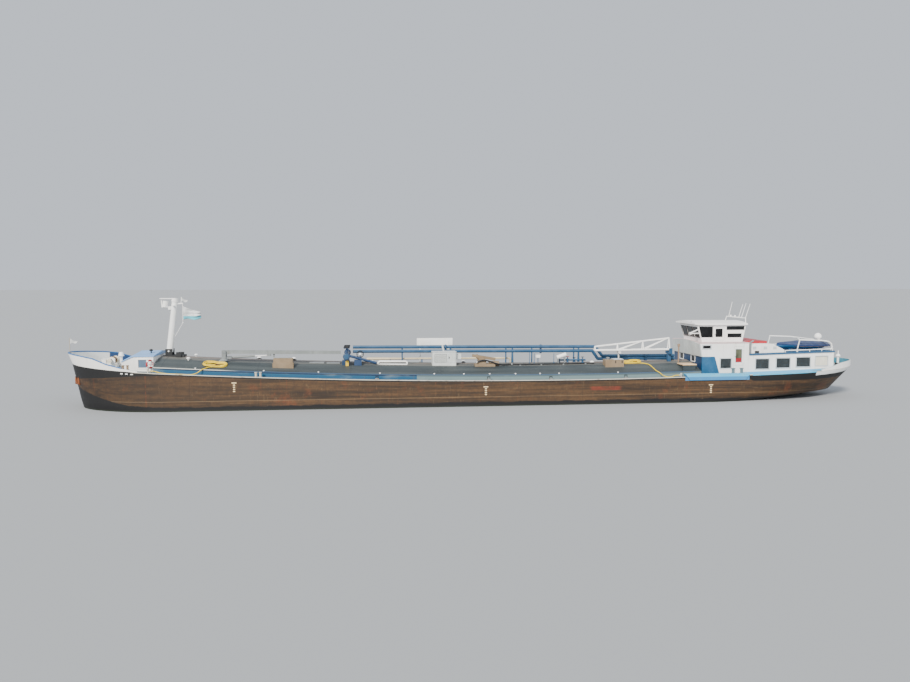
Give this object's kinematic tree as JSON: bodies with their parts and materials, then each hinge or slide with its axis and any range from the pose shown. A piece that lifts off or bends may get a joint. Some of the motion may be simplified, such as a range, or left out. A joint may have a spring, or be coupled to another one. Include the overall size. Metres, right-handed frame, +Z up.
{
  "type": "inland tank barge, 1:2 scale model",
  "caption": "Low inland tank barge, empty, with tank trunk, deck crane, folding mast, cargo pipes, aft house and raised wheelhouse.",
  "frame": {"origin": "centre of the keel's flat bottom, in the middle of the overall length", "axes": "+X forward to the bow, +Y to port, +Z up"},
  "size_m": [27.5, 3.4, 4.0561],
  "materials": {
    "hull": "rusty brown hull paint over black",
    "white": "white gloss paint, weathered",
    "grey": "light grey paint",
    "deck": "grey deck paint, streaked",
    "blue": "mid-blue paint",
    "navy": "navy paint",
    "pale": "pale blue paint",
    "red": "red paint",
    "beige": "beige paint",
    "dark": "dark painted steel",
    "rust": "rusted bare steel",
    "bronze": "dull bronze",
    "flag": "white cloth",
    "yellow": "yellow rubber hose",
    "cover": "blue canvas"
  },
  "bodies": {
    "barge": {"hull_bow": "hull", "hull": "hull", "bow_bulwark": "white", "stern_bulwark": "white", "fore_house_walls": "white", "windlass_frame": "white", "bow_vent": "white", "sign_board": "white", "house_side_port": "white", "house_side_starboard": "white", "house_aft": "white", "engine_casing": "white", "wheelhouse_port": "white", "wheelhouse_starboard": "white", "wheelhouse_front": "white", "wheelhouse_aft": "white", "wheelhouse_roof": "white", "roof_rail": "white", "stern_rail": "white", "satellite_dome": "white", "pump_housing": "grey", "boom_stand": "grey", "visor": "grey", "bridge_deck": "grey", "trunk_deck": "deck", "cargo_pipes": "blue", "manifold": "navy", "house_front": "navy", "fore_house_roof": "pale", "aft_roof": "pale", "fore_locker": "beige", "deck_pump": "beige", "aft_locker": "beige", "house_floor": "beige", "hose_fore": "yellow", "hose_fore_hank": "yellow", "hose_aft": "yellow", "hose_aft_hank": "yellow", "mast_stand": "dark", "exhaust": "dark", "bow_pennant": "flag", "dinghy": "cover", "dinghy_cover": "cover"},
    "propeller": {"propeller": "bronze"},
    "rudder": {"rudder": "rust"},
    "windlass_drum": {"windlass_drum": "grey"},
    "mast": {"mast": "white"},
    "mast_flag": {"mast_flag": "flag"},
    "crane_post": {"crane_post": "grey"},
    "crane_jib": {"crane_jib": "grey"},
    "crane_cylinder": {"crane_cylinder": "grey"},
    "crane_rod": {"crane_rod": "white"},
    "boom": {"boom": "white"},
    "hatch_lid": {"hatch_lid": "beige"},
    "casing_hatch": {"casing_hatch": "red"},
    "house_door_port": {"house_door_port": "white"},
    "house_door_starboard": {"house_door_starboard": "white"},
    "wheelhouse_door_port": {"wheelhouse_door_port": "white"},
    "wheelhouse_door_starboard": {"wheelhouse_door_starboard": "white"}
  },
  "joints": [
    {"name": "propeller_spin", "type": "hinge", "parent": "barge", "child": "propeller", "pos_m": [-11.395, 0, 0.3], "axis": [1, 0, 0], "continuous": true},
    {"name": "rudder_turn", "type": "hinge", "parent": "barge", "child": "rudder", "pos_m": [-11.925, 0, 0.3], "axis": [0, 0, 1], "range_deg": [-70, 70]},
    {"name": "windlass_turn", "type": "hinge", "parent": "barge", "child": "windlass_drum", "pos_m": [12.34, 0, 1.975], "axis": [0, 1, 0], "continuous": true},
    {"name": "mast_fold", "type": "hinge", "parent": "barge", "child": "mast", "pos_m": [10.525, 0, 2.26], "axis": [0, -1, 0], "range_deg": [0, 62]},
    {"name": "flag_swing", "type": "hinge", "parent": "mast", "child": "mast_flag", "pos_m": [10.08, 0, 3.525], "axis": [0, 0, -1], "range_deg": [0, 90]},
    {"name": "crane_slew", "type": "hinge", "parent": "barge", "child": "crane_post", "pos_m": [8.65, 0.6, 2.01], "axis": [0, 0, -1], "range_deg": [-110, 110]},
    {"name": "crane_luff", "type": "hinge", "parent": "crane_post", "child": "crane_jib", "pos_m": [8.65, 0.6, 2.24], "axis": [0, 1, 0], "range_deg": [0, 60]},
    {"name": "crane_cylinder_tilt", "type": "hinge", "parent": "crane_post", "child": "crane_cylinder", "pos_m": [8.44, 0.6, 2.07], "axis": [0, 1, 0], "range_deg": [0, 63.25]},
    {"name": "crane_rod_slide", "type": "slide", "parent": "crane_cylinder", "child": "crane_rod", "axis": [-0.9988, 0, 0.0483], "range_m": [0, 0.2593]},
    {"name": "boom_luff", "type": "hinge", "parent": "barge", "child": "boom", "pos_m": [-6.75, 0.225, 2.16], "axis": [0, -1, 0], "range_deg": [0, 80]},
    {"name": "hatch_open", "type": "hinge", "parent": "barge", "child": "hatch_lid", "pos_m": [-7.35, 1, 1.725], "axis": [0, -1, 0], "range_deg": [0, 95]},
    {"name": "casing_hatch_open", "type": "hinge", "parent": "barge", "child": "casing_hatch", "pos_m": [-10.125, 0, 2.47], "axis": [0, -1, 0], "range_deg": [0, 85]},
    {"name": "house_door_port_open", "type": "hinge", "parent": "barge", "child": "house_door_port", "pos_m": [-9.05, 1.2353, 1.985], "axis": [0, 0, 1], "range_deg": [0, 110]},
    {"name": "house_door_starboard_open", "type": "hinge", "parent": "barge", "child": "house_door_starboard", "pos_m": [-9.05, -1.2353, 1.985], "axis": [0, 0, -1], "range_deg": [0, 110]},
    {"name": "wheelhouse_door_port_open", "type": "hinge", "parent": "barge", "child": "wheelhouse_door_port", "pos_m": [-8.55, 0.7853, 2.735], "axis": [0, 0, 1], "range_deg": [0, 100]},
    {"name": "wheelhouse_door_starboard_open", "type": "hinge", "parent": "barge", "child": "wheelhouse_door_starboard", "pos_m": [-8.55, -0.7853, 2.735], "axis": [0, 0, -1], "range_deg": [0, 100]}
  ],
  "couplings": [
    {"joint": "flag_swing", "follows": "mast_fold", "ratio": 1.4511},
    {"joint": "crane_cylinder_tilt", "follows": "crane_luff", "ratio": 1.0538},
    {"joint": "crane_rod_slide", "follows": "crane_luff", "m_per_rad": 0.2473}
  ]
}
